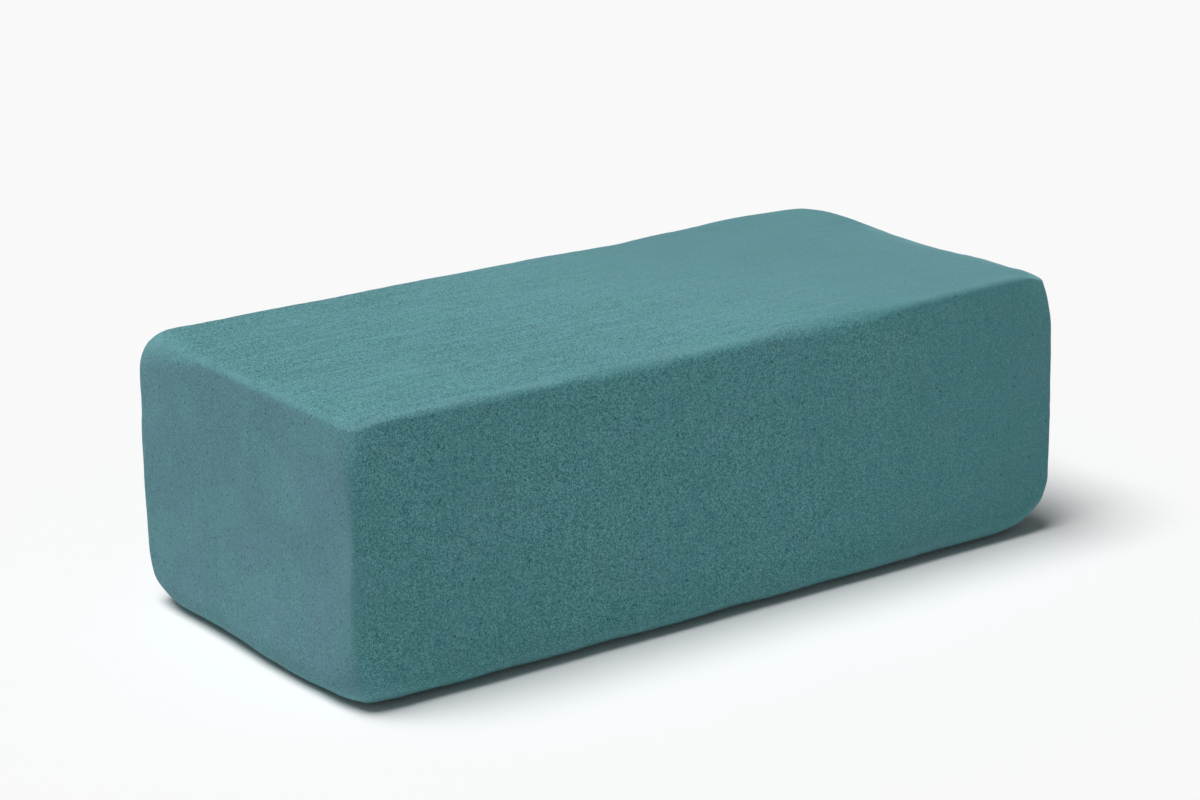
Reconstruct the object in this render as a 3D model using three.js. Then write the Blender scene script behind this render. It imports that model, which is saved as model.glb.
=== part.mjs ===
// Floral foam brick: one block of rigid open-cell phenolic foam, which florists soak in water
// and push cut stems into.
//
// Units are millimetres. +Z is up, and the brick lies on its base as it does in a tray.
// The origin is the centre of the base. X runs along the length and Y across the width.

import * as THREE from "three";

// Overall size, over the flat faces.
const LENGTH = 229;
const WIDTH = 108;
const HEIGHT = 76;

// Rounding of the edges. The foam crushes under a finger, so no edge stays sharp.
const UPRIGHT_EDGE_RADIUS = 6;
const TOP_EDGE_RADIUS = 8;
const BASE_EDGE_RADIUS = 9;

// Facets in each quarter turn. Both are even, because a curve divides a quarter turn in pairs.
const UPRIGHT_EDGE_FACETS = 10;
const LEVEL_EDGE_FACETS = 8;

// Surface of the dry foam: a matt, slightly greyed blue-green.
const FOAM_COLOR = 0x5f9296;
const FOAM_ROUGHNESS = 1;
const FOAM_METALNESS = 0;

const QUARTER_TURN = Math.PI / 2;

// The outline seen from above, drawn in from the four sides by an inset. It runs anticlockwise.
// The corner radius stays the same at every inset, which wears the brick's eight corners
// back a little more than its edges.
function planOutline(inset) {
  const radius = UPRIGHT_EDGE_RADIUS;
  const x = LENGTH / 2 - inset - radius;
  const y = WIDTH / 2 - inset - radius;
  const outline = new THREE.Shape();
  outline.absarc(x, y, radius, 0, QUARTER_TURN);
  outline.absarc(-x, y, radius, QUARTER_TURN, 2 * QUARTER_TURN);
  outline.absarc(-x, -y, radius, 2 * QUARTER_TURN, 3 * QUARTER_TURN);
  outline.absarc(x, -y, radius, 3 * QUARTER_TURN, 4 * QUARTER_TURN);
  return outline.getPoints(UPRIGHT_EDGE_FACETS / 2);
}

// The side's profile from the base up to the top, as points of inset (x) and height (y).
function sideProfile() {
  const profile = new THREE.Path();
  profile.absarc(
    BASE_EDGE_RADIUS, BASE_EDGE_RADIUS, BASE_EDGE_RADIUS,
    3 * QUARTER_TURN, 2 * QUARTER_TURN, true,
  );
  profile.absarc(
    TOP_EDGE_RADIUS, HEIGHT - TOP_EDGE_RADIUS, TOP_EDGE_RADIUS,
    2 * QUARTER_TURN, QUARTER_TURN, true,
  );
  return profile.getPoints(LEVEL_EDGE_FACETS / 2);
}

// The block: one ring of points for each level of the profile, joined by walls,
// with a flat base under the first ring and a flat top on the last.
function blockGeometry() {
  const levels = sideProfile();
  const rings = levels.map((level) => planOutline(level.x));
  const ringSize = rings[0].length;
  const positions = rings.flatMap((ring, k) => ring.flatMap((p) => [p.x, p.y, levels[k].y]));
  const faces = [];
  for (let k = 0; k + 1 < rings.length; k++) {
    for (let i = 0; i < ringSize; i++) {
      const next = (i + 1) % ringSize;
      const low = k * ringSize;
      const high = low + ringSize;
      faces.push(low + i, low + next, high + next);
      faces.push(low + i, high + next, high + i);
    }
  }
  const lastRing = (rings.length - 1) * ringSize;
  for (const [a, b, c] of THREE.ShapeUtils.triangulateShape(rings[0], [])) {
    faces.push(a, c, b);
  }
  for (const [a, b, c] of THREE.ShapeUtils.triangulateShape(rings.at(-1), [])) {
    faces.push(lastRing + a, lastRing + b, lastRing + c);
  }
  const geometry = new THREE.BufferGeometry();
  geometry.setAttribute("position", new THREE.Float32BufferAttribute(positions, 3));
  geometry.setIndex(faces);
  geometry.computeVertexNormals();
  return geometry;
}

const foam = new THREE.MeshStandardMaterial({
  color: FOAM_COLOR,
  roughness: FOAM_ROUGHNESS,
  metalness: FOAM_METALNESS,
});

const foamBrick = new THREE.Mesh(blockGeometry(), foam);
foamBrick.name = "foam_brick";

const brick = new THREE.Group();
brick.add(foamBrick);

export default brick;
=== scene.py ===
"""Floral foam brick: the looks of one block of dry phenolic foam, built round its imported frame.

The file is laid out as a Blender add-on and is run as a script. Geometry Nodes shape the block
from its sizes, and the foam and the studio are materials made of nodes. Lengths are in metres.
"""

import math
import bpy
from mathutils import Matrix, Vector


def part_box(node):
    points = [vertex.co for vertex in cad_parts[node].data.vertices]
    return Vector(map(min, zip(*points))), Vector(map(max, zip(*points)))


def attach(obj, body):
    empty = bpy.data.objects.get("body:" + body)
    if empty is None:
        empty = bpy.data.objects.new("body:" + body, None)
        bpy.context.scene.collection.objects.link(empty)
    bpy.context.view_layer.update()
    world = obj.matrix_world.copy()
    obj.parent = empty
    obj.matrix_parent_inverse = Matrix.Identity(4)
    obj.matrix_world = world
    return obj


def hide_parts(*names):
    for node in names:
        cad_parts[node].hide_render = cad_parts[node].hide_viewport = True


bl_info = {
    "name": "Floral Foam Brick",
    "version": (1, 0, 0),
    "blender": (4, 5, 0),
    "location": "3D View > Sidebar > Foam Brick",
    "description": "Builds a worn block of floral foam and a plain studio round it",
    "category": "Add Mesh",
}

import bpy
from bpy.props import FloatProperty, FloatVectorProperty, PointerProperty
from mathutils import Matrix, Vector

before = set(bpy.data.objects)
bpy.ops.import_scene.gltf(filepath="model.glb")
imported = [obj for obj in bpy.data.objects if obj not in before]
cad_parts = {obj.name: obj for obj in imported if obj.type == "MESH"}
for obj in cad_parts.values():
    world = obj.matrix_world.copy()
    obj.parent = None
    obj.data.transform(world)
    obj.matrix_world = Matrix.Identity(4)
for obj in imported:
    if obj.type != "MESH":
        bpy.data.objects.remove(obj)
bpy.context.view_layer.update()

CAD_NODE = "foam_brick"
BODY = "root"
CAD_LOW, CAD_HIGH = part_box(CAD_NODE)
CAD_SIZE = CAD_HIGH - CAD_LOW

MM = 0.001
CORE_DEPTH = 22 * MM  # how far inside the faces the core lies, from which the skin is grown
CRISPEST_EDGE = 0.9 * MM  # the least radius that the foam's crumbling edges can keep
GROWTH_STEPS = 12  # enough for the skin to settle to a hundredth of a millimetre
BACK_RADIUS_STARTS = 0.15  # share of the width behind the middle where the top's radius grows
WEAR_STARTS = 0.35 * MM  # foam lost before an edge counts as rubbed
WEAR_IS_FULL = 2.2 * MM
RUB_REACH = 4.5 * MM  # how far in from an edge hands rub the faces smooth
RUBBED_WEAR = 0.8  # the most wear that this rubbing gives
WEAR_ATTRIBUTE = "edge_wear"

RUB_PATCH = 14 * MM  # distance across one patch of harder or lighter rubbing
RUB_NOISE = (0.38, 0.6)  # noise values between which the rubbing goes from light to hard
LEAST_RUB = 0.45  # share of the rubbing left where it is lightest
BASE_RUB = 0.15  # share of the rubbing left along the base edge
RUB_HEIGHT = 14 * MM  # height above which the sides are rubbed in full
PATCH_NOISE = (0.45, 0.7)  # noise values between which a patch of colour fades in
PATCH_SHARE = 0.2  # the most that a greener or greyer patch takes over
GREY_SHIFT = (1, 2, 3)  # in metres: keeps the grey patches from following the green
GRAIN_PATCH = 30 * MM  # distance across one patch of stronger or weaker grain
GRAIN_NOISE = (0.3, 0.7)  # noise values between which the grain goes from weak to strong
GRAIN_SWING = 0.15  # how far the patches take the grain below and above its own strength
TOP_GRAIN = 1.35  # grain of the top, against the sides
END_GRAIN = 0.42  # grain of the two ends, against the sides
SMOOTH_END_GRAIN = 0.35  # grain left at the right end of the long faces, which is smoother
SMOOTH_TONE = 0.32  # how fully the smooth foam takes its own colour
TOP_SMOOTH_SHIFT = 45 * MM  # the top turns smooth this much sooner than the sides
TOP_SMOOTH_SLANT = 0.5  # and sooner still towards the back, by this much of the way back
WORN_GRAIN = 0.3  # grain left on a fully rubbed edge
WORN_PALING = 0.35  # how far a fully rubbed edge that faces up turns pale
RISE = 0.75  # width of a cell, as a share of its height
RIM_STEP = 1.1  # how much paler the stipple gets over one cell pitch, from a cell's middle out
STIPPLE_SHIFT = -0.5  # brings the stipple's mean near a half
HOLLOW_STARTS, HOLLOW_MOST = 0.48, 0.58  # stipple below which a cell is dark, and how dark at most
WALL_STARTS, WALL_MOST = 0.5, 0.85  # stipple above which a wall is pale, and how pale at most
TOP_STREAKS = 0.6  # how far the saw's streaks shift the stipple of the top
SIDE_STREAKS = 0.3
PIT_SHARE = 0.45  # share of the places for a pit that hold one, where the grain is full
PIT_SMALLEST = 0.11  # reach of a pit, as a share of the pit pitch
PIT_LARGEST = 0.28
PIT_FLOOR = 0.4  # share of a pit's reach over which it is darkest
PIT_MOST = 0.65  # how far a pit hides the foam's colour
END_PITS = 0.9  # strength of the pits on the two ends, against the other faces
FLECK_SHARE = 0.3  # share of the places for a pit that hold a pale fleck, a painted glint, instead
FLECK_REACH = 0.14  # reach of a fleck, as a share of the pit pitch
FLECK_MOST = 0.9
WALL_ROUGHNESS = 0.88  # torn cell walls are a little glossier than the hollows, at 1
CELL_DEPTH = 0.1 * MM  # height of the bump from a hollow to the top of a wall

SENSOR_WIDTH = 36  # mm, as lenses are named for
CLIP_END = 100.0  # how far the camera sees, in metres
FLOOR_REACH = 6.0  # half the floor's width, in metres
COVE_TOP = 0.08  # how far up the pale cove reaches, as the sine of the angle above the horizon
CEILING_STARTS = 0.32  # where the dim ceiling starts, in the same measure
KEY_FROM = (-0.27, 0.03, 0.8)  # the way from the block to each light
FILL_FROM = (-0.9, 0.0, 0.35)

COLOR = {"subtype": "COLOR", "size": 3, "min": 0.0, "max": 1.0}
EASED = {"interpolation_type": "SMOOTHSTEP"}  # a Map Range that starts and ends gently

# The eight corners: which way each lies along X, Y and Z, how much of its tip is knocked off, and
# how soft the cut is, as a share of the corner softness. Y -1 is the front and Z -1 the base.
CORNERS = (
    ("front left top corner", (-1, -1, 1), -1.0 * MM, 1.0),
    ("front right top corner", (1, -1, 1), 3.3 * MM, 0.8),
    ("back left top corner", (-1, 1, 1), 0.8 * MM, 1.0),
    ("back right top corner", (1, 1, 1), 3.5 * MM, 1.0),
    ("front left base corner", (-1, -1, -1), 2.9 * MM, 1.0),
    ("front right base corner", (1, -1, -1), 7.6 * MM, 0.3),
    ("back left base corner", (-1, 1, -1), 2.2 * MM, 1.0),
    ("back right base corner", (1, 1, -1), 3.0 * MM, 1.0),
)

# Stretches of edge that are rounder than the rest, or crisper (a change below zero). Places are
# given as in the next table, with a reach and the change of radius.
EDGE_ROUNDS = (
    ("bevelled middle of the front top edge", (-0.12, -1.0, 1.0), 40 * MM, 1.2 * MM),
    ("rolled stretch of the front top edge", (0.3, -1.0, 1.0), 32 * MM, 2.2 * MM),
    ("softened right end", (1.0, -0.1, 1.0), 52 * MM, 4.5 * MM),
    ("crisper front right edge", (1.0, -1.0, 0.45), 44 * MM, -1.2 * MM),
    ("tighter back left corner", (-1.0, 1.0, 1.0), 26 * MM, -1.8 * MM),
    ("crisp front left edge", (-1.0, -1.0, 0.5), 48 * MM, -3.5 * MM),
)

# Top edges along which the top sinks: which shape property says how far, the axis across the
# edge and which way along it is inward, the axis along the edge, and the middle and half the span
# of the sunk stretch, as shares of half the block's size along that axis.
DROOPS = (
    ("Front droop", "Y", 1.0, "X", -0.35, 1.2),
    ("Left end droop", "X", 1.0, "Y", -0.9, 1.8),
    ("Right end droop", "X", -1.0, "Y", -0.2, 1.6),
)

# Places where handling has pressed the foam in, or left it proud (a depth below zero). Each place
# is a share of half the length, half the width and the height, with a radius and a depth.
WORN_SPOTS = (
    ("hollow in the right end's top edge", (1.0, 0.1, 1.0), 36 * MM, 1.4 * MM),
    ("dip in the right end's top edge", (1.0, -0.42, 1.0), 32 * MM, 1.0 * MM),
    ("rubbed front of the right end's top edge", (1.0, -0.75, 1.0), 16 * MM, 0.9 * MM),
    ("hollow in the left of the front base edge", (-0.82, -1.0, 0.0), 22 * MM, 0.6 * MM),
    ("hollow in the back top edge", (0.28, 1.0, 1.0), 26 * MM, 0.7 * MM),
    ("proud back top edge", (0.72, 1.0, 1.0), 26 * MM, -0.5 * MM),
    ("rubbed middle of the front top edge", (-0.08, -1.0, 1.0), 22 * MM, 0.8 * MM),
    ("thumb press on the front top edge", (-0.47, -1.0, 1.0), 9 * MM, 0.5 * MM),
    ("nick in the front top edge", (-0.34, -1.0, 1.0), 4 * MM, 0.6 * MM),
    ("hollow in the right of the front base edge", (0.93, -1.0, 0.0), 13 * MM, 1.1 * MM),
    ("rubbed front of the left upright edge", (-0.95, -1.0, 0.65), 20 * MM, 0.8 * MM),
    ("hollow under the left end's top edge", (-1.0, -0.35, 0.78), 20 * MM, 0.6 * MM),
    ("proud foot of the left end", (-1.0, -0.3, 0.0), 36 * MM, -0.9 * MM),
    ("rubbed back left edge", (-1.0, 1.0, 0.8), 18 * MM, 0.5 * MM),
)


def linear(code):
    """An sRGB hex colour such as 5F9296 as linear red, green and blue."""
    shares = [int(code[i : i + 2], 16) / 255 for i in (0, 2, 4)]
    return tuple(s / 12.92 if s <= 0.04045 else ((s + 0.055) / 1.055) ** 2.4 for s in shares)


class FoamBrickShape(bpy.types.PropertyGroup):
    """The block's sizes, which are also the inputs of its Geometry Nodes tree."""

    length: FloatProperty(
        name="Length",
        description="Overall length along X, over the flat ends",
        default=CAD_SIZE.x,
        min=0.05,
        unit="LENGTH",
    )
    width: FloatProperty(
        name="Width",
        description="Overall width along Y, over the flat sides",
        default=CAD_SIZE.y,
        min=0.05,
        unit="LENGTH",
    )
    height: FloatProperty(
        name="Height",
        description="Overall height, from the base to the flat top",
        default=CAD_SIZE.z,
        min=0.05,
        unit="LENGTH",
    )
    upright_radius: FloatProperty(
        name="Upright edge radius",
        description="Rounding of the four upright edges",
        default=5 * MM,
        min=MM,
        unit="LENGTH",
    )
    front_top_radius: FloatProperty(
        name="Front top edge radius",
        description="Rounding of the top edge along the front",
        default=1.5 * MM,
        min=MM,
        unit="LENGTH",
    )
    back_top_radius: FloatProperty(
        name="Back top edge radius",
        description="Rounding of the top edge along the back, which handling has rubbed more",
        default=12 * MM,
        min=MM,
        unit="LENGTH",
    )
    base_radius: FloatProperty(
        name="Base edge radius",
        description="Rounding of the edges round the base",
        default=9 * MM,
        min=MM,
        unit="LENGTH",
    )
    front_droop: FloatProperty(
        name="Front droop",
        description="How far the top sinks towards its front edge",
        default=1.5 * MM,
        min=0.0,
        unit="LENGTH",
    )
    left_end_droop: FloatProperty(
        name="Left end droop",
        description="How far the top sinks towards its left edge",
        default=1.6 * MM,
        min=0.0,
        unit="LENGTH",
    )
    right_end_droop: FloatProperty(
        name="Right end droop",
        description="How far the top sinks towards its right edge",
        default=2.4 * MM,
        min=0.0,
        unit="LENGTH",
    )
    droop_reach: FloatProperty(
        name="Droop reach",
        description="How far from an edge the top starts to sink",
        default=14 * MM,
        min=MM,
        unit="LENGTH",
    )
    corner_softness: FloatProperty(
        name="Corner softness",
        description="Rounding where a knocked-off corner meets the faces",
        default=10 * MM,
        min=MM,
        unit="LENGTH",
    )
    edge_variation: FloatProperty(
        name="Edge variation",
        description="How far the edge rounding wanders from its own radius, as a share of it",
        default=0.1,
        min=0.0,
        max=0.8,
        subtype="FACTOR",
    )
    edge_wander: FloatProperty(
        name="Edge wander",
        description="Length along an edge over which its rounding changes",
        default=28 * MM,
        min=MM,
        unit="LENGTH",
    )
    wave_height: FloatProperty(
        name="Wave height",
        description="How far the sawn faces stray from flat",
        default=0.2 * MM,
        min=0.0,
        unit="LENGTH",
    )
    wave_length: FloatProperty(
        name="Wave length",
        description="Distance across one slow wave of the faces",
        default=60 * MM,
        min=MM,
        unit="LENGTH",
    )
    skin_height: FloatProperty(
        name="Skin height",
        description="Height of the small lumps that cut cells leave on the faces",
        default=0.05 * MM,
        min=0.0,
        unit="LENGTH",
    )
    skin_length: FloatProperty(
        name="Skin length",
        description="Distance across one small lump",
        default=4.5 * MM,
        min=MM,
        unit="LENGTH",
    )
    edge_crumble: FloatProperty(
        name="Edge crumble",
        description="How many times higher the small lumps are on a rubbed edge",
        default=3.0,
        min=1.0,
    )
    grid: FloatProperty(
        name="Grid",
        description="Mean spacing of the block's mesh, which is denser towards its edges",
        default=1.06 * MM,
        min=0.5 * MM,
        unit="LENGTH",
    )
    grid_gather: FloatProperty(
        name="Grid gather",
        description="How far the mesh's lines are drawn towards the edges",
        default=0.6,
        min=0.0,
        max=0.9,
        subtype="FACTOR",
    )


class FoamBrickFinish(bpy.types.PropertyGroup):
    """Colours of the dry foam, with the light and shade of each face painted into the face colours, and
    the real sizes of its patterns.
    """

    # Painted light: the foam's own colour with the light on the top painted in, the palest of the
    # faces.
    top_lit_color: FloatVectorProperty(
        name="Top and base",
        description="Foam cut across the rise of the bun, as on the top and the base",
        **COLOR,
        default=linear("6CA1A6"),
    )
    # Painted shade: the foam's own colour with the shade on the front and the back painted in, darker
    # and greener.
    side_lit_color: FloatVectorProperty(
        name="Long sides",
        description="Foam cut along the rise, on the front and the back",
        **COLOR,
        default=linear("549195"),
    )
    # Painted light and shade: the foam's own colour with the light on the two ends painted in, greyer
    # and a little redder.
    end_lit_color: FloatVectorProperty(
        name="Ends",
        description="Foam cut on the two short ends",
        **COLOR,
        default=linear("597F89"),
    )
    green_color: FloatVectorProperty(
        name="Greener patches",
        description="Tint of the patches where the dye took best",
        **COLOR,
        default=linear("569992"),
    )
    grey_color: FloatVectorProperty(
        name="Greyer patches",
        description="Tint of the patches that are dusty or took less dye",
        **COLOR,
        default=linear("6F8F9E"),
    )
    smooth_color: FloatVectorProperty(
        name="Smooth colour",
        description="Colour that the foam turns to towards the right end, where it is smoother",
        **COLOR,
        default=linear("4E7880"),
    )
    # Colour of the painted glints where light catches broken cell walls, and the pale colour that the
    # rubbed edges facing up turn to.
    pale_edge_and_glint_color: FloatVectorProperty(
        name="Pale edges and glints",
        description="Crushed foam on rubbed edges and in loose flecks",
        **COLOR,
        default=linear("8FBDC0"),
    )
    wall_color: FloatVectorProperty(
        name="Cell walls",
        description="The torn walls between open cells, which stand up into the light",
        **COLOR,
        default=linear("7CBEC2"),
    )
    hollow_color: FloatVectorProperty(
        name="Open cells",
        description="The shaded inside of a cell that the saw has opened",
        **COLOR,
        default=linear("17555A"),
    )
    cell_pitch: FloatProperty(
        name="Cell pitch",
        description="Distance between the cells that show",
        default=0.22 * MM,
        min=0.1 * MM,
        unit="LENGTH",
    )
    pit_pitch: FloatProperty(
        name="Pit pitch",
        description="Distance between the places where a large open cell may be",
        default=1.5 * MM,
        min=0.1 * MM,
        unit="LENGTH",
    )
    patch_length: FloatProperty(
        name="Patch length",
        description="Distance across one patch of colour",
        default=16 * MM,
        min=MM,
        unit="LENGTH",
    )
    streak_length: FloatProperty(
        name="Streak length",
        description="Length of the fine streaks that the saw leaves",
        default=14 * MM,
        min=MM,
        unit="LENGTH",
    )
    streak_width: FloatProperty(
        name="Streak width",
        description="Distance from one saw streak to the next",
        default=1.0 * MM,
        min=0.1 * MM,
        unit="LENGTH",
    )
    grain: FloatProperty(
        name="Grain",
        description="Strength of the stipple of light and dark cells",
        default=1.0,
        min=0.0,
        max=3.0,
        subtype="FACTOR",
    )


class FoamBrickStudio(bpy.types.PropertyGroup):
    """The camera and the lights."""

    azimuth: FloatProperty(
        name="Azimuth",
        description="How far round to the left of the long front side the camera stands",
        default=math.radians(35.57),
        subtype="ANGLE",
    )
    elevation: FloatProperty(
        name="Elevation",
        description="How far above the horizon the camera looks from",
        default=math.radians(16.99),
        subtype="ANGLE",
    )
    roll: FloatProperty(
        name="Roll",
        description="Turn of the camera about its own line of sight",
        default=math.radians(-0.85),
        subtype="ANGLE",
    )
    distance: FloatProperty(
        name="Distance",
        description="From the camera to the point that it looks at",
        default=0.917,
        unit="LENGTH",
    )
    aim: FloatVectorProperty(
        name="Aim",
        description="The point that the camera looks at",
        size=3,
        default=(15.7 * MM, 25.3 * MM, 38 * MM),
        subtype="TRANSLATION",
        unit="LENGTH",
    )
    focal_length: FloatProperty(
        name="Focal length",
        description="Focal length of the lens in millimetres, on a sensor 36 mm wide",
        default=98.4,
        min=1.0,
    )
    key_strength: FloatProperty(
        name="Key strength",
        description="Light from overhead on a surface turned to it: 1 shows white paint as white",
        default=0.98,
        min=0.0,
    )
    key_color: FloatVectorProperty(
        name="Key",
        description="Colour of the overhead light",
        **COLOR,
        default=linear("FFFFFF"),
    )
    key_angle: FloatProperty(
        name="Key size",
        description="Angle across the overhead light, as seen from the block",
        default=math.radians(36),
        subtype="ANGLE",
    )
    fill_strength: FloatProperty(
        name="Fill strength",
        description="Light from the left on a surface turned to it",
        default=0.03,
        min=0.0,
    )
    fill_color: FloatVectorProperty(
        name="Fill",
        description="Colour of the light from the left",
        **COLOR,
        default=linear("FFE6EE"),
    )
    fill_angle: FloatProperty(
        name="Fill size",
        description="Angle across the light from the left, as seen from the block",
        default=math.radians(80),
        subtype="ANGLE",
    )
    cove_strength: FloatProperty(
        name="Cove strength",
        description="Brightness of the pale wall all round at eye level",
        default=0.85,
        min=0.0,
    )
    ceiling_strength: FloatProperty(
        name="Ceiling strength",
        description="Brightness of the studio overhead, apart from its lights",
        default=0.06,
        min=0.0,
    )
    floor_color: FloatVectorProperty(
        name="Floor",
        description="Matt paint of the floor",
        **COLOR,
        default=linear("F6F6F6"),
    )


def add(tree, kind, settings=None, inputs=()):
    """Adds a node with its settings by name, or its operation alone, and its inputs in order or by
    name. An input is a value, a socket or a node, which stands for its first output in use. The
    inputs of a Map Range are its value, the two limits it comes from and the two it goes to."""
    node = tree.nodes.new(kind)
    if isinstance(settings, str):
        settings = {"operation": settings}
    for name, value in (settings or {}).items():
        setattr(node, name, value)
    sockets = [s for s in node.inputs if s.enabled]
    pairs = inputs.items() if isinstance(inputs, dict) else enumerate(inputs)
    for key, value in pairs:
        socket = sockets[key] if isinstance(key, int) else next(s for s in sockets if s.name == key)
        if isinstance(value, bpy.types.Node):
            value = next(s for s in value.outputs if s.enabled)
        if isinstance(value, bpy.types.NodeSocket):
            tree.links.new(value, socket)
        else:
            socket.default_value = value
    return node


def new_tree(name, inputs, outputs):
    """A Geometry Nodes tree with sockets given as pairs of a name and a kind."""
    tree = bpy.data.node_groups.new(name, "GeometryNodeTree")
    for socket, kind in inputs:
        tree.interface.new_socket(name=socket, in_out="INPUT", socket_type="NodeSocket" + kind)
    for socket, kind in outputs:
        tree.interface.new_socket(name=socket, in_out="OUTPUT", socket_type="NodeSocket" + kind)
    return tree


def rounded_edge_tree():
    """The distance to two faces at once, with a round of the given radius where they meet."""
    tree = new_tree(
        "Rounded edge",
        [("First face", "Float"), ("Second face", "Float"), ("Radius", "Float")],
        [("Distance", "Float")],
    )
    given = add(tree, "NodeGroupInput").outputs
    faces = add(tree, "ShaderNodeCombineXYZ", inputs=[given["First face"], given["Second face"]])
    radius = add(tree, "ShaderNodeCombineXYZ", inputs=[given["Radius"], given["Radius"]])
    moved = add(tree, "ShaderNodeVectorMath", "ADD", [faces, radius])
    past = add(tree, "ShaderNodeVectorMath", "MAXIMUM", [moved, (0, 0, 0)])
    arc = add(tree, "ShaderNodeVectorMath", "LENGTH", [past])
    nearer = add(tree, "ShaderNodeMath", "MAXIMUM", [given["First face"], given["Second face"]])
    depth = add(tree, "ShaderNodeMath", "MULTIPLY", [given["Radius"], -1.0])
    inside = add(tree, "ShaderNodeMath", "MINIMUM", [nearer, depth])
    distance = add(tree, "ShaderNodeMath", "ADD", [arc, inside])
    add(tree, "NodeGroupOutput", inputs=[distance])
    return tree


def worn_spot_tree():
    """How far a press or a lump moves the skin at a point: its depth at the centre, fading out
    smoothly to nothing at its radius."""
    tree = new_tree(
        "Worn spot",
        [("Point", "Vector"), ("Centre", "Vector"), ("Radius", "Float"), ("Depth", "Float")],
        [("Distance", "Float")],
    )
    given = add(tree, "NodeGroupInput").outputs
    away = add(tree, "ShaderNodeVectorMath", "DISTANCE", [given["Point"], given["Centre"]])
    fade = add(
        tree,
        "ShaderNodeMapRange",
        {"interpolation_type": "SMOOTHERSTEP"},
        [away, 0.0, given["Radius"], given["Depth"], 0.0],
    )
    add(tree, "NodeGroupOutput", inputs=[fade])
    return tree


def shape_sockets():
    """The Geometry Nodes inputs that carry the shape's properties, under the same names."""
    rows = FoamBrickShape.bl_rna.properties
    return [(p.name, "Float") for p in rows if p.type == "FLOAT"]


def worn_skin_tree():
    """The distance from a point to the block's worn skin, below zero inside, and to the faces and
    the edges of the sharp box that the block was sawn as."""
    tree = new_tree(
        "Worn skin",
        [("Point", "Vector"), *shape_sockets()],
        [("Distance", "Float"), ("Sharp distance", "Float"), ("Edge distance", "Float")],
    )
    given = add(tree, "NodeGroupInput").outputs
    point = given["Point"]
    rounded = rounded_edge_tree()
    spot = worn_spot_tree()

    size = add(tree, "ShaderNodeCombineXYZ", inputs=[given["Length"], given["Width"], given["Height"]])
    half = add(tree, "ShaderNodeVectorMath", "MULTIPLY", [size, (0.5, 0.5, 1.0)])
    mirrored = add(tree, "ShaderNodeVectorMath", "ABSOLUTE", [point])
    past = add(tree, "ShaderNodeVectorMath", "SUBTRACT", [mirrored, half])
    end, side, over_top = add(tree, "ShaderNodeSeparateXYZ", inputs=[past]).outputs
    place_on = add(tree, "ShaderNodeSeparateXYZ", inputs=[point]).outputs
    half_on = add(tree, "ShaderNodeSeparateXYZ", inputs=[half]).outputs
    under_base = add(tree, "ShaderNodeMath", "MULTIPLY", [place_on["Z"], -1.0])
    sharp = add(tree, "ShaderNodeMath", "MAXIMUM", [over_top, under_base])
    near_edge = -CORE_DEPTH  # grows to the second largest of the three face distances
    for face in (end, side):
        both = add(tree, "ShaderNodeMath", "MINIMUM", [sharp, face])
        near_edge = add(tree, "ShaderNodeMath", "MAXIMUM", [near_edge, both])
        sharp = add(tree, "ShaderNodeMath", "MAXIMUM", [sharp, face])

    # The edge radii wander along the edges, as hand wear does. The noise lies mostly between a
    # quarter and three quarters, which is spread to the span from -1 to 1.
    wander = add(tree, "ShaderNodeMath", "DIVIDE", [1.0, given["Edge wander"]])
    drift = add(
        tree,
        "ShaderNodeTexNoise",
        {"noise_dimensions": "3D"},
        {"Vector": point, "Scale": wander, "Detail": 1.0},
    )
    swing = add(tree, "ShaderNodeMath", "MULTIPLY_ADD", [drift, 4.0, -2.0])
    share = add(tree, "ShaderNodeMath", "MULTIPLY_ADD", [swing, given["Edge variation"], 1.0])
    across = add(tree, "ShaderNodeVectorMath", "DIVIDE", [point, size])
    back_share = add(tree, "ShaderNodeSeparateXYZ", inputs=[across]).outputs["Y"]
    front_and_back = (given["Front top edge radius"], given["Back top edge radius"])
    top_radius = add(
        tree,
        "ShaderNodeMapRange",
        inputs=[back_share, BACK_RADIUS_STARTS, 0.5, *front_and_back],
    )
    change = 0.0
    for name, where, reach, most in EDGE_ROUNDS:
        middle = add(
            tree, "ShaderNodeVectorMath", {"operation": "MULTIPLY", "label": name}, [half, where]
        )
        rounder = add(tree, "GeometryNodeGroup", {"node_tree": spot}, [point, middle, reach, most])
        change = add(tree, "ShaderNodeMath", "ADD", [rounder, change])
    radii = []
    for radius in (given["Upright edge radius"], top_radius, given["Base edge radius"]):
        radius = add(tree, "ShaderNodeMath", "MULTIPLY_ADD", [radius, share, change])
        radii.append(add(tree, "ShaderNodeMath", "MAXIMUM", [radius, CRISPEST_EDGE]))

    # The top sinks a little towards the front and both ends.
    for name, across_axis, way, along_axis, middle, span in DROOPS:
        inward = add(
            tree,
            "ShaderNodeMath",
            "MULTIPLY_ADD",
            [place_on[across_axis], way, half_on[across_axis]],
        )
        near = add(tree, "ShaderNodeMapRange", inputs=[inward, 0.0, given["Droop reach"], 1.0, 0.0])
        sunk = add(tree, "ShaderNodeMath", "MULTIPLY", [near, near])
        along = add(tree, "ShaderNodeMath", "DIVIDE", [place_on[along_axis], half_on[along_axis]])
        off_middle = add(tree, "ShaderNodeMath", "MULTIPLY_ADD", [along, 1 / span, -middle / span])
        squared = add(tree, "ShaderNodeMath", "MULTIPLY", [off_middle, off_middle])
        arch = add(tree, "ShaderNodeMath", {"operation": "SUBTRACT", "use_clamp": True}, [1.0, squared])
        sunk = add(tree, "ShaderNodeMath", "MULTIPLY", [sunk, arch])
        over_top = add(tree, "ShaderNodeMath", "MULTIPLY_ADD", [sunk, given[name], over_top])
    walls = add(tree, "GeometryNodeGroup", {"node_tree": rounded}, [end, side, radii[0]])
    topped = add(tree, "GeometryNodeGroup", {"node_tree": rounded}, [walls, over_top, radii[1]])
    skin = add(tree, "GeometryNodeGroup", {"node_tree": rounded}, [topped, under_base, radii[2]])

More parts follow.
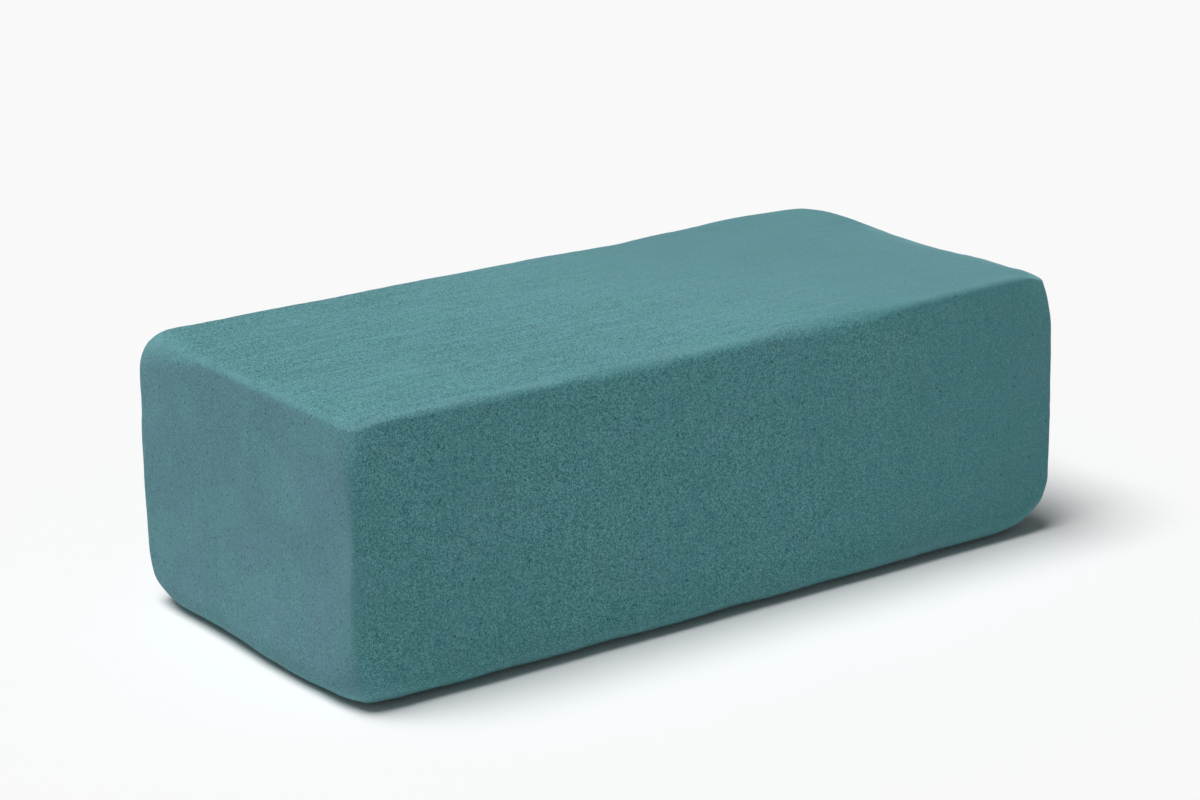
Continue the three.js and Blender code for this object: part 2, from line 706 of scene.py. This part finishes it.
    for name, (x, y, z), depth, softness in CORNERS:
        tip = add(
            tree,
            "ShaderNodeVectorMath",
            {"operation": "MULTIPLY", "label": name},
            [half, (x, y, max(z, 0))],
        )
        inward = add(tree, "ShaderNodeVectorMath", "SUBTRACT", [point, tip])
        outward = Vector((x, y, z)).normalized()
        along = add(tree, "ShaderNodeVectorMath", "DOT_PRODUCT", [inward, outward])
        cut = add(tree, "ShaderNodeMath", "ADD", [along, depth])
        soft = add(tree, "ShaderNodeMath", "MULTIPLY", [given["Corner softness"], softness])
        skin = add(tree, "GeometryNodeGroup", {"node_tree": rounded}, [skin, cut, soft])

    for name, where, radius, depth in WORN_SPOTS:
        centre = add(
            tree,
            "ShaderNodeVectorMath",
            {"operation": "MULTIPLY", "label": name},
            [half, where],
        )
        dip = add(tree, "GeometryNodeGroup", {"node_tree": spot}, [point, centre, radius, depth])
        skin = add(tree, "ShaderNodeMath", "ADD", [skin, dip])

    # Slow waves from the saw, and small lumps where cells were cut open, which are higher where
    # an edge has crumbled.
    lumps = add(
        tree,
        "ShaderNodeMapRange",
        EASED,
        [sharp, 0.0, -WEAR_STARTS, 1.0, given["Edge crumble"]],
    )
    lump_height = add(tree, "ShaderNodeMath", "MULTIPLY", [given["Skin height"], lumps])
    for length_name, rise, detail in (
        ("Wave length", given["Wave height"], 1.0),
        ("Skin length", lump_height, 2.0),
    ):
        pitch = add(tree, "ShaderNodeMath", "DIVIDE", [1.0, given[length_name]])
        noise = add(
            tree,
            "ShaderNodeTexNoise",
            {"noise_dimensions": "3D"},
            {"Vector": point, "Scale": pitch, "Detail": detail},
        )
        centred = add(tree, "ShaderNodeMath", "MULTIPLY_ADD", [noise, 2.0, -1.0])
        skin = add(tree, "ShaderNodeMath", "MULTIPLY_ADD", [centred, rise, skin])

    add(tree, "NodeGroupOutput", inputs=[skin, sharp, near_edge])
    return tree


def foam_block_tree(material):
    """A fine box whose points are moved out from a core until they lie on the worn skin."""
    tree = new_tree("Foam block", shape_sockets(), [("Geometry", "Geometry")])
    given = add(tree, "NodeGroupInput").outputs
    skin_tree = worn_skin_tree()
    sizes = [given[name] for name, _ in shape_sockets()]

    size = add(tree, "ShaderNodeCombineXYZ", inputs=[given["Length"], given["Width"], given["Height"]])
    grid = add(tree, "ShaderNodeCombineXYZ", inputs=[given["Grid"]] * 3)
    cells = add(tree, "ShaderNodeVectorMath", "DIVIDE", [size, grid])
    whole = add(tree, "ShaderNodeVectorMath", "CEIL", [cells])
    counts = add(tree, "ShaderNodeVectorMath", "ADD", [whole, (1, 1, 1)])
    count = add(tree, "ShaderNodeSeparateXYZ", inputs=[counts]).outputs
    box = add(tree, "GeometryNodeMeshCube", inputs=[size, count["X"], count["Y"], count["Z"]])
    # The lines of the grid gather towards the edges, where the shape turns fastest.
    point = add(tree, "GeometryNodeInputPosition")
    outer = add(tree, "ShaderNodeVectorMath", "SCALE", {"Vector": size, "Scale": 0.5})
    share = add(tree, "ShaderNodeVectorMath", "DIVIDE", [point, outer])
    turn = add(tree, "ShaderNodeVectorMath", "SCALE", {"Vector": share, "Scale": math.pi / 2})
    eased = add(tree, "ShaderNodeVectorMath", "SINE", [turn])
    mixed = add(
        tree,
        "ShaderNodeMix",
        {"data_type": "VECTOR", "clamp_factor": False},
        [given["Grid gather"], share, eased],
    )
    lift = add(tree, "ShaderNodeVectorMath", "MULTIPLY", [size, (0, 0, 0.5)])
    gathered = add(tree, "ShaderNodeVectorMath", "MULTIPLY_ADD", [mixed, outer, lift])
    stood = add(tree, "GeometryNodeSetPosition", inputs={"Geometry": box, "Position": gathered})

    # The core is the box drawn in on all sides. Each point moves straight away from it.
    half = add(tree, "ShaderNodeVectorMath", "MULTIPLY", [size, (0.5, 0.5, 1.0)])
    core_high = add(tree, "ShaderNodeVectorMath", "SUBTRACT", [half, (CORE_DEPTH,) * 3])
    low_side = add(tree, "ShaderNodeVectorMath", "MULTIPLY", [core_high, (-1, -1, 0)])
    core_low = add(tree, "ShaderNodeVectorMath", "ADD", [low_side, (0, 0, CORE_DEPTH)])
    step_in = add(tree, "GeometryNodeRepeatInput")
    step_out = add(tree, "GeometryNodeRepeatOutput")
    step_in.pair_with_output(step_out)
    step_in.inputs["Iterations"].default_value = GROWTH_STEPS
    tree.links.new(stood.outputs["Geometry"], step_in.inputs["Geometry"])
    under = add(tree, "ShaderNodeVectorMath", "MINIMUM", [point, core_high])
    core = add(tree, "ShaderNodeVectorMath", "MAXIMUM", [under, core_low])
    away = add(tree, "ShaderNodeVectorMath", "SUBTRACT", [point, core])
    outward = add(tree, "ShaderNodeVectorMath", "NORMALIZE", [away])
    skin = add(tree, "GeometryNodeGroup", {"node_tree": skin_tree}, [point, *sizes])
    back = add(tree, "ShaderNodeMath", "MULTIPLY", [skin.outputs["Distance"], -1.0])
    move = add(tree, "ShaderNodeVectorMath", "SCALE", {"Vector": outward, "Scale": back})
    grown = add(
        tree,
        "GeometryNodeSetPosition",
        inputs={"Geometry": step_in.outputs["Geometry"], "Offset": move},
    )
    tree.links.new(grown.outputs["Geometry"], step_out.inputs["Geometry"])

    # Nothing reaches below the surface that the block lies on.
    settled = add(tree, "ShaderNodeVectorMath", "MAXIMUM", [point, (-1, -1, 0)])
    rested = add(
        tree,
        "GeometryNodeSetPosition",
        inputs={"Geometry": step_out.outputs["Geometry"], "Position": settled},
    )
    lost = add(
        tree,
        "ShaderNodeMapRange",
        EASED,
        [skin.outputs["Sharp distance"], -WEAR_STARTS, -WEAR_IS_FULL, 0.0, 1.0],
    )
    rubbed = add(
        tree,
        "ShaderNodeMapRange",
        EASED,
        [skin.outputs["Edge distance"], -RUB_REACH, -WEAR_STARTS, 0.0, RUBBED_WEAR],
    )
    wear = add(tree, "ShaderNodeMath", "MAXIMUM", [lost, rubbed])
    worn = add(
        tree,
        "GeometryNodeStoreNamedAttribute",
        {"data_type": "FLOAT", "domain": "POINT"},
        {"Geometry": rested, "Name": WEAR_ATTRIBUTE, "Value": wear},
    )
    smooth = add(tree, "GeometryNodeSetShadeSmooth", inputs={"Geometry": worn})
    real = add(tree, "GeometryNodeRealizeInstances", inputs={"Geometry": smooth})
    finished = add(tree, "GeometryNodeSetMaterial", inputs={"Geometry": real, "Material": material})
    add(tree, "NodeGroupOutput", inputs=[finished])
    return tree


def phenolic_foam(finish):
    """Phenolic foam, sawn: dead matt, with a fine stipple of cut cells, faint saw streaks and a
    few burst cells. Each face's light and shade and a few glints are painted into the colour. Rubbed
    edges are smoother, and those that face up are paler."""
    material = bpy.data.materials.new("Phenolic foam, sawn")
    material.use_nodes = True
    tree = material.node_tree
    tree.nodes.clear()
    coordinates = add(tree, "ShaderNodeTexCoord").outputs
    point = coordinates["Object"]
    place_on = add(tree, "ShaderNodeSeparateXYZ", inputs=[point]).outputs
    wear = add(tree, "ShaderNodeAttribute", {"attribute_name": WEAR_ATTRIBUTE}).outputs["Fac"]

    # The rubbing is uneven, and the base edge was crushed rather than rubbed.
    rubs = add(
        tree, "ShaderNodeTexNoise", inputs={"Vector": point, "Scale": 1 / RUB_PATCH, "Detail": 2.0}
    )
    for value, low, high, least in (
        (rubs, *RUB_NOISE, LEAST_RUB),
        (place_on["Z"], 0.0, RUB_HEIGHT, BASE_RUB),
    ):
        amount = add(tree, "ShaderNodeMapRange", inputs=[value, low, high, least, 1.0])
        wear = add(tree, "ShaderNodeMath", "MULTIPLY", [wear, amount])

    # How far a spot faces along X, Y and Z: the shares add up to one.
    squares = add(
        tree,
        "ShaderNodeVectorMath",
        "MULTIPLY",
        [coordinates["Normal"], coordinates["Normal"]],
    )
    end_on, _, level = add(tree, "ShaderNodeSeparateXYZ", inputs=[squares]).outputs
    # Each face takes its own colour, into which the light and shade on that face are painted.
    color = add(
        tree,
        "ShaderNodeMix",
        {"data_type": "RGBA"},
        [end_on, (*finish.side_lit_color, 1), (*finish.end_lit_color, 1)],
    )
    color = add(tree, "ShaderNodeMix", {"data_type": "RGBA"}, [level, color, (*finish.top_lit_color, 1)])

    # Slow patches of greener and greyer foam.
    for tint, offset in ((finish.green_color, (0, 0, 0)), (finish.grey_color, GREY_SHIFT)):
        moved = add(tree, "ShaderNodeVectorMath", "ADD", [point, offset])
        patch = add(
            tree,
            "ShaderNodeTexNoise",
            inputs={"Vector": moved, "Scale": 1 / finish.patch_length, "Detail": 2.0},
        )
        amount = add(tree, "ShaderNodeMapRange", EASED, [patch, *PATCH_NOISE, 0.0, PATCH_SHARE])
        color = add(tree, "ShaderNodeMix", {"data_type": "RGBA"}, [amount, color, (*tint, 1)])

    # The foam rose as it set, so its cells are taller than wide. Real cells are 0.1 to 0.3 mm
    # across, and they are drawn at that size.
    squeezed = add(tree, "ShaderNodeVectorMath", "MULTIPLY", [point, (1.0, 1.0, RISE)])
    cells = add(
        tree, "ShaderNodeTexVoronoi", inputs={"Vector": squeezed, "Scale": 1 / finish.cell_pitch}
    ).outputs
    random_cell = add(tree, "ShaderNodeSeparateColor", inputs=[cells["Color"]]).outputs
    rim = add(tree, "ShaderNodeMath", "MULTIPLY_ADD", [cells["Distance"], RIM_STEP, STIPPLE_SHIFT])
    stipple = add(tree, "ShaderNodeMath", "ADD", [random_cell["Red"], rim])

    # The saw left fine streaks along the top and down the sides.
    upright = add(tree, "ShaderNodeMath", "SUBTRACT", [1.0, level])
    long, fine = 1 / finish.streak_length, 1 / finish.streak_width
    for scale, facing, share in (
        ((long, fine, long), level, TOP_STREAKS),
        ((fine, fine, long), upright, SIDE_STREAKS),
    ):
        stretched = add(tree, "ShaderNodeVectorMath", "MULTIPLY", [point, scale])
        streak = add(
            tree, "ShaderNodeTexNoise", inputs={"Vector": stretched, "Scale": 1.0, "Detail": 2.0}
        )
        centred = add(tree, "ShaderNodeMath", "SUBTRACT", [streak, 0.5])
        amount = add(tree, "ShaderNodeMath", "MULTIPLY", [facing, share])
        stipple = add(tree, "ShaderNodeMath", "MULTIPLY_ADD", [centred, amount, stipple])

    # The grain comes and goes in patches, fades towards the right end of the long faces, and is
    # rubbed away on the edges.
    clouds = add(
        tree,
        "ShaderNodeTexNoise",
        inputs={"Vector": point, "Scale": 1 / GRAIN_PATCH, "Detail": 2.0},
    )
    patchy = add(
        tree,
        "ShaderNodeMapRange",
        inputs=[clouds, *GRAIN_NOISE, 1 - GRAIN_SWING, 1 + GRAIN_SWING],
    )
    fine_end = add(tree, "ShaderNodeMath", "MULTIPLY_ADD", [end_on, END_GRAIN - 1, 1.0])
    shift = add(
        tree,
        "ShaderNodeMath",
        "MULTIPLY_ADD",
        [place_on["Y"], TOP_SMOOTH_SLANT, TOP_SMOOTH_SHIFT],
    )
    along = add(tree, "ShaderNodeMath", "MULTIPLY_ADD", [level, shift, place_on["X"]])
    fade = add(tree, "ShaderNodeMapRange", EASED, [along, 0.0, CAD_HIGH.x, 1.0, SMOOTH_END_GRAIN])
    fade = add(tree, "ShaderNodeMix", {"data_type": "FLOAT"}, [end_on, fade, 1.0])
    # Both the smooth tone and the fading of the grain tell twice on the top.
    twice = add(tree, "ShaderNodeMath", "ADD", [level, 1.0])
    smooth = add(tree, "ShaderNodeMath", "SUBTRACT", [1.0, fade])
    for part in (twice, SMOOTH_TONE):
        smooth = add(tree, "ShaderNodeMath", "MULTIPLY", [smooth, part])
    color = add(
        tree, "ShaderNodeMix", {"data_type": "RGBA"}, [smooth, color, (*finish.smooth_color, 1)]
    )
    fade = add(tree, "ShaderNodeMath", "POWER", [fade, twice])
    kept = add(tree, "ShaderNodeMapRange", inputs=[wear, 0.0, 1.0, 1.0, WORN_GRAIN])
    top_grain = add(tree, "ShaderNodeMath", "MULTIPLY_ADD", [level, TOP_GRAIN - 1, 1.0])
    strength = patchy
    for part in (fade, kept, fine_end, top_grain, finish.grain):
        strength = add(tree, "ShaderNodeMath", "MULTIPLY", [strength, part])
    for low, high, most, tone in (
        (HOLLOW_STARTS, 0.0, HOLLOW_MOST, finish.hollow_color),
        (WALL_STARTS, 1.0, WALL_MOST, finish.wall_color),
    ):
        amount = add(tree, "ShaderNodeMapRange", inputs=[stipple, low, high, 0.0, most])
        amount = add(tree, "ShaderNodeMath", "MULTIPLY", [amount, strength])
        color = add(tree, "ShaderNodeMix", {"data_type": "RGBA"}, [amount, color, (*tone, 1)])

    # A few cells burst while the foam rose, and here and there a pale fleck is painted as a glint where
    # light catches a broken cell wall.
    pits = add(
        tree, "ShaderNodeTexVoronoi", inputs={"Vector": squeezed, "Scale": 1 / finish.pit_pitch}
    ).outputs
    pit_random = add(tree, "ShaderNodeSeparateColor", inputs=[pits["Color"]]).outputs
    pit_limit = add(tree, "ShaderNodeMath", "MULTIPLY_ADD", [fade, -PIT_SHARE, 1.0])
    is_pit = add(tree, "ShaderNodeMath", "GREATER_THAN", [pit_random["Red"], pit_limit])
    pit_reach = add(
        tree,
        "ShaderNodeMapRange",
        inputs=[pit_random["Green"], 0.0, 1.0, PIT_SMALLEST, PIT_LARGEST],
    )
    pit_floor = add(tree, "ShaderNodeMath", "MULTIPLY", [pit_reach, PIT_FLOOR])
    pit_middle = add(
        tree,
        "ShaderNodeMapRange",
        EASED,
        [pits["Distance"], pit_reach, pit_floor, 0.0, PIT_MOST],
    )
    shallow = add(tree, "ShaderNodeMath", "MULTIPLY_ADD", [end_on, END_PITS - 1, 1.0])
    pit = is_pit
    for part in (pit_middle, shallow):
        pit = add(tree, "ShaderNodeMath", "MULTIPLY", [pit, part])
    # The pits are painted in the open-cell colour: painted shade inside the burst cells.
    color = add(tree, "ShaderNodeMix", {"data_type": "RGBA"}, [pit, color, (*finish.hollow_color, 1)])
    # Painted highlights: pale flecks where light catches a broken cell wall.
    is_fleck = add(tree, "ShaderNodeMath", "LESS_THAN", [pit_random["Red"], FLECK_SHARE])
    fleck_middle = add(
        tree,
        "ShaderNodeMapRange",
        EASED,
        [pits["Distance"], FLECK_REACH, FLECK_REACH / 2, 0.0, FLECK_MOST],
    )
    fleck = add(tree, "ShaderNodeMath", "MULTIPLY", [is_fleck, fleck_middle])
    color = add(tree, "ShaderNodeMix", {"data_type": "RGBA"}, [fleck, color, (*finish.pale_edge_and_glint_color, 1)])

    # The rubbed edges that face up turn paler, more so the more worn they are and the more they face
    # up.
    paled = wear
    for part in (wear, level, WORN_PALING):
        paled = add(tree, "ShaderNodeMath", "MULTIPLY", [paled, part])
    color = add(tree, "ShaderNodeMix", {"data_type": "RGBA"}, [paled, color, (*finish.pale_edge_and_glint_color, 1)])

    roughness = add(tree, "ShaderNodeMapRange", inputs=[stipple, 0.0, 1.0, 1.0, WALL_ROUGHNESS])
    raised = add(tree, "ShaderNodeMath", "MULTIPLY", [stipple, strength])
    height = add(tree, "ShaderNodeMath", "SUBTRACT", [raised, pit])
    bump = add(
        tree,
        "ShaderNodeBump",
        inputs={"Strength": 1.0, "Distance": CELL_DEPTH, "Height": height},
    )
    shader = add(
        tree,
        "ShaderNodeBsdfPrincipled",
        inputs={
            "Base Color": color,
            "Roughness": roughness,
            "IOR": 1.45,
            "Normal": bump,
            "Diffuse Roughness": 1.0,
            "Specular IOR Level": 0.25,
        },
    )
    add(tree, "ShaderNodeOutputMaterial", inputs=[shader])
    return material


def plain_mesh(piece):
    """Turns a piece with a Geometry Nodes modifier into the plain mesh that it makes."""
    graph = bpy.context.evaluated_depsgraph_get()
    made = bpy.data.meshes.new_from_object(piece.evaluated_get(graph))
    made.name = piece.name
    piece.modifiers.clear()
    piece.data = made
    return piece


def place(name, data):
    """A new object at the origin, in the scene's own collection."""
    made = bpy.data.objects.new(name, data)
    bpy.context.scene.collection.objects.link(made)
    return made


class FOAMBRICK_OT_block(bpy.types.Operator):
    """Make the worn block of floral foam"""

    bl_idname = "foambrick.block"
    bl_label = "Foam Block"

    def execute(self, context):
        shape = context.scene.foam_brick_shape
        block = place("foam_block", bpy.data.meshes.new("foam_block"))
        modifier = block.modifiers.new("Foam block", "NODES")
        tree = foam_block_tree(phenolic_foam(context.scene.foam_brick_finish))
        modifier.node_group = tree
        values = {p.name: getattr(shape, p.identifier) for p in shape.bl_rna.properties}
        for item in tree.interface.items_tree:
            if item.in_out == "INPUT":
                modifier[item.identifier] = values[item.name]
        plain_mesh(block)
        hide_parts(CAD_NODE)
        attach(block, BODY)
        return {"FINISHED"}


class FOAMBRICK_OT_studio(bpy.types.Operator):
    """Set the camera, the floor and the lights"""

    bl_idname = "foambrick.studio"
    bl_label = "Studio"

    def execute(self, context):
        studio = context.scene.foam_brick_studio
        scene = context.scene
        scene.view_settings.view_transform = "Standard"

        camera = place("camera", bpy.data.cameras.new("camera"))
        camera.data.sensor_width = SENSOR_WIDTH
        camera.data.lens = studio.focal_length
        camera.data.clip_end = CLIP_END
        back = Vector(
            (
                -math.sin(studio.azimuth) * math.cos(studio.elevation),
                -math.cos(studio.azimuth) * math.cos(studio.elevation),
                math.sin(studio.elevation),
            )
        )
        turned = back.to_track_quat("Z", "Y").to_matrix().to_4x4()
        roll = Matrix.Rotation(studio.roll, 4, "Z")
        stand = Matrix.Translation(Vector(studio.aim) + back * studio.distance)
        camera.matrix_world = stand @ turned @ roll
        scene.camera = camera

        self.air(scene, studio)
        self.floor(studio)
        for name, power, color, angle, direction in (
            ("overhead key", studio.key_strength, studio.key_color, studio.key_angle, KEY_FROM),
            ("left fill", studio.fill_strength, studio.fill_color, studio.fill_angle, FILL_FROM),
        ):
            lamp = bpy.data.lights.new(name, "SUN")
            lamp.energy = power * math.pi
            lamp.color = color
            lamp.angle = angle
            light = place(name, lamp)
            light.matrix_world = Vector(direction).to_track_quat("Z", "Y").to_matrix().to_4x4()
        return {"FINISHED"}

    def air(self, scene, studio):
        """A pale cove all round at eye level, under a dim ceiling."""
        world = bpy.data.worlds.new("studio air")
        world.use_nodes = True
        tree = world.node_tree
        tree.nodes.clear()
        direction = add(tree, "ShaderNodeTexCoord").outputs["Generated"]
        up = add(tree, "ShaderNodeSeparateXYZ", inputs=[direction]).outputs["Z"]
        strength = add(
            tree,
            "ShaderNodeMapRange",
            EASED,
            [up, COVE_TOP, CEILING_STARTS, studio.cove_strength, studio.ceiling_strength],
        )
        background = add(tree, "ShaderNodeBackground", inputs=[(1, 1, 1, 1), strength])
        add(tree, "ShaderNodeOutputWorld", inputs=[background])
        scene.world = world

    def floor(self, studio):
        """A plain matt floor that reaches well past the picture."""
        mesh = bpy.data.meshes.new("floor")
        corners = [
            (x * FLOOR_REACH, y * FLOOR_REACH, 0) for x, y in ((-1, -1), (1, -1), (1, 1), (-1, 1))
        ]
        mesh.from_pydata(corners, [], [(0, 1, 2, 3)])
        floor = place("floor", mesh)
        paint = bpy.data.materials.new("Studio floor, matt paint")
        paint.use_nodes = True
        shader = paint.node_tree.nodes["Principled BSDF"].inputs
        shader["Base Color"].default_value = (*studio.floor_color, 1)
        shader["Roughness"].default_value = 1.0
        shader["Specular IOR Level"].default_value = 0.0
        mesh.materials.append(paint)


class FOAMBRICK_PT_sidebar(bpy.types.Panel):
    """The sizes and the two steps, in the 3D view's sidebar"""

    bl_idname = "FOAMBRICK_PT_sidebar"
    bl_label = "Floral Foam Brick"
    bl_space_type = "VIEW_3D"
    bl_region_type = "UI"
    bl_category = "Foam Brick"

    def draw(self, context):
        for name in ("foam_brick_shape", "foam_brick_finish", "foam_brick_studio"):
            group = getattr(context.scene, name)
            column = self.layout.column(align=True)
            for row in group.bl_rna.properties:
                if row.identifier not in ("rna_type", "name"):
                    column.prop(group, row.identifier)
        self.layout.operator(FOAMBRICK_OT_block.bl_idname)
        self.layout.operator(FOAMBRICK_OT_studio.bl_idname)


CLASSES = (
    FoamBrickShape,
    FoamBrickFinish,
    FoamBrickStudio,
    FOAMBRICK_OT_block,
    FOAMBRICK_OT_studio,
    FOAMBRICK_PT_sidebar,
)


def register():
    for item in CLASSES:
        bpy.utils.register_class(item)
    bpy.types.Scene.foam_brick_shape = PointerProperty(type=FoamBrickShape)
    bpy.types.Scene.foam_brick_finish = PointerProperty(type=FoamBrickFinish)
    bpy.types.Scene.foam_brick_studio = PointerProperty(type=FoamBrickStudio)


def unregister():
    del bpy.types.Scene.foam_brick_shape
    del bpy.types.Scene.foam_brick_finish
    del bpy.types.Scene.foam_brick_studio
    for item in reversed(CLASSES):
        bpy.utils.unregister_class(item)


def main():
    register()
    bpy.ops.foambrick.studio()
    bpy.ops.foambrick.block()


if __name__ == "__main__":
    main()
